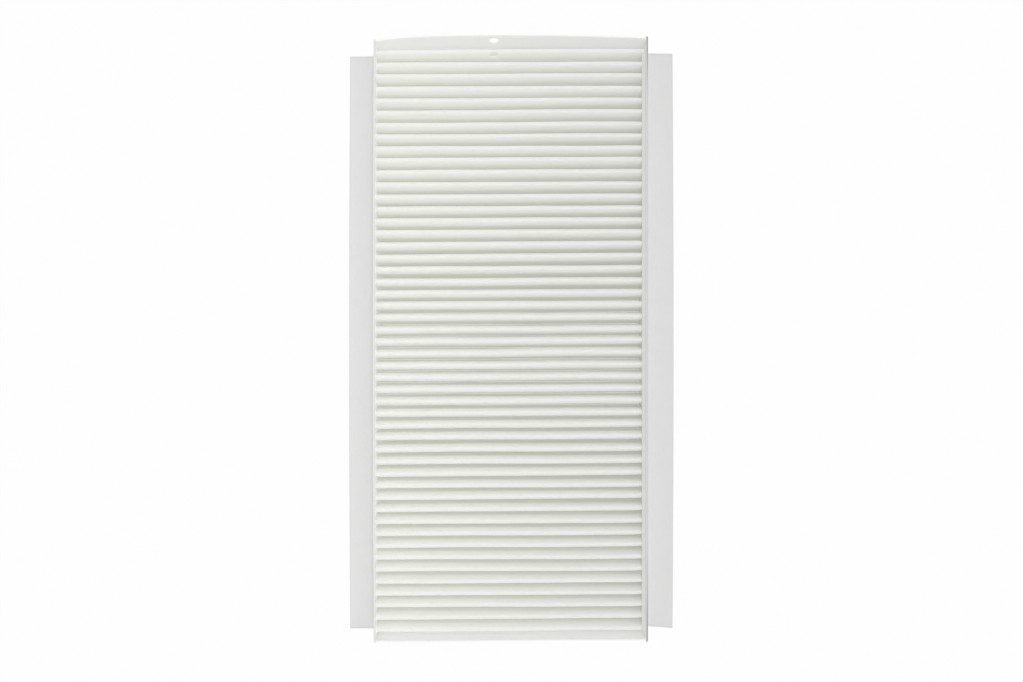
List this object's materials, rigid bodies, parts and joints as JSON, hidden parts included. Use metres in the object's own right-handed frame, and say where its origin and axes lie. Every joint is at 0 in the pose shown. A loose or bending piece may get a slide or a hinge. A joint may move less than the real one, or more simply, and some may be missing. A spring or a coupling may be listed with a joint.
{
  "type": "cabin air filter",
  "caption": "Flat rectangular cabin air filter: a deep-pleated white filter cloth glued between two felt side bands, whose folded flanges slide into a filter housing.",
  "frame": {"origin": "middle of the footprint, on the face that the flanges and the lower folds lie in", "axes": "+Y along the filter and across its pleats, towards the end leaf with the punched hole; +X to the right, along the folds; +Z from the flange face to the open face"},
  "size_m": [0.1712, 0.3041, 0.03],
  "materials": {
    "filter_cloth": "matt, fine random fibres, warm white",
    "band_felt": "matt, calendered stiff felt, neutral white",
    "hot_melt": "milky film with a soft sheen"
  },
  "bodies": {
    "root": {"media_pack": "filter_cloth", "left_side_band": "band_felt", "right_side_band": "band_felt", "left_glue_film": "hot_melt", "right_glue_film": "hot_melt"}
  },
  "joints": []
}
